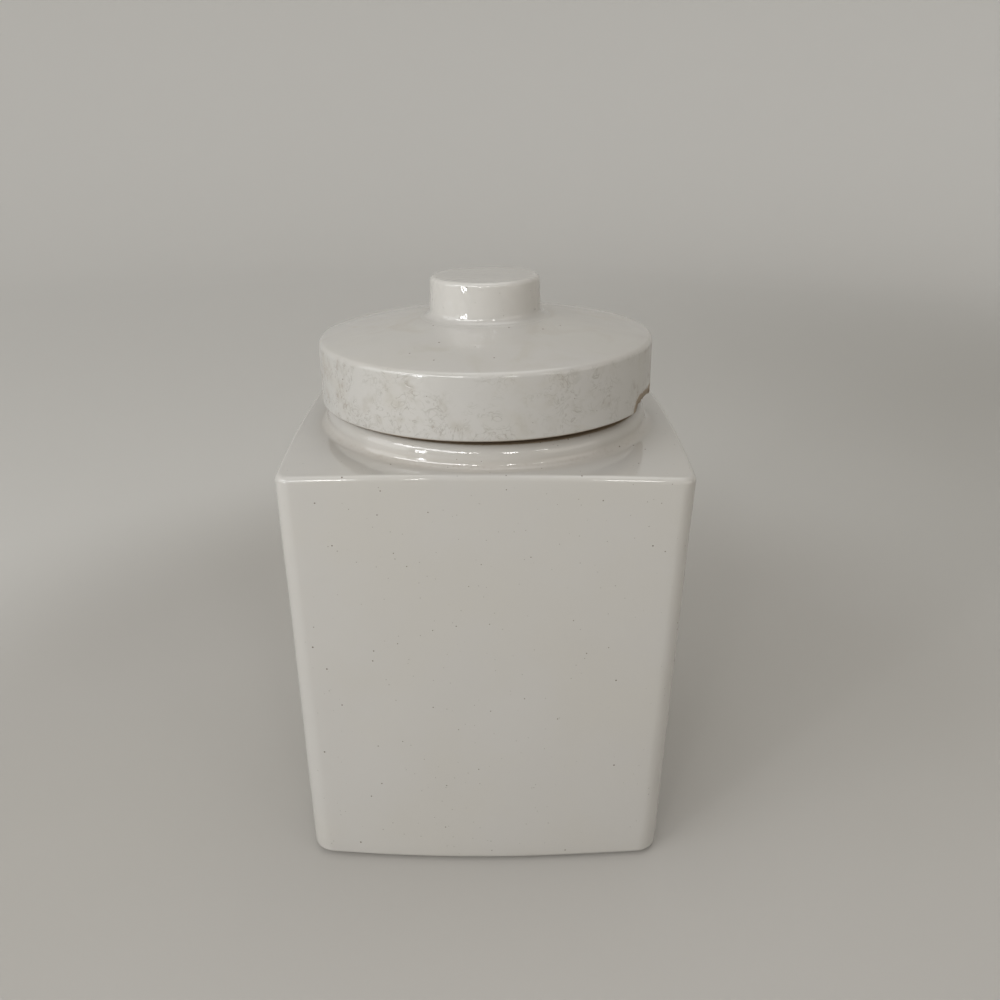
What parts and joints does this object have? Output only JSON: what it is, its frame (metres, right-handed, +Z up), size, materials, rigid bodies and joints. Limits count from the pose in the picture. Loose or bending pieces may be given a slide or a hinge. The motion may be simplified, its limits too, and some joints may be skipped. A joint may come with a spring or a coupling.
{
  "type": "ceramic tea canister",
  "caption": "Square glazed ceramic tea canister with a rolled collar and a round drum lid on a soft seal ring, lifted off by a low round knob.",
  "frame": {"origin": "middle of the foot plane, on the upright axis of the body", "axes": "+Z up; -Y is the front face in the picture; +X is to the right seen from the front"},
  "size_m": [0.11, 0.1058, 0.1668],
  "materials": {
    "body_glaze": "glossy off-white glaze with small dark pinholes, bare clay on the foot",
    "lid_glaze": "satin off-white glaze, finely crazed and stained on the side wall",
    "seal": "matt translucent off-white silicone"
  },
  "bodies": {
    "jar": {"jar": "body_glaze"},
    "seal": {"seal_ring": "seal"},
    "lid": {"lid": "lid_glaze", "lid_knob": "body_glaze"}
  },
  "joints": [
    {"name": "lid_lift", "type": "slide", "parent": "jar", "child": "seal", "axis": [0, 0, 1], "range_m": [0, 0.1]},
    {"name": "lid_turn", "type": "hinge", "parent": "seal", "child": "lid", "pos_m": [0, -0.002, 0.13234], "axis": [-0.0183, 0.0065, 0.9998], "continuous": true}
  ]
}
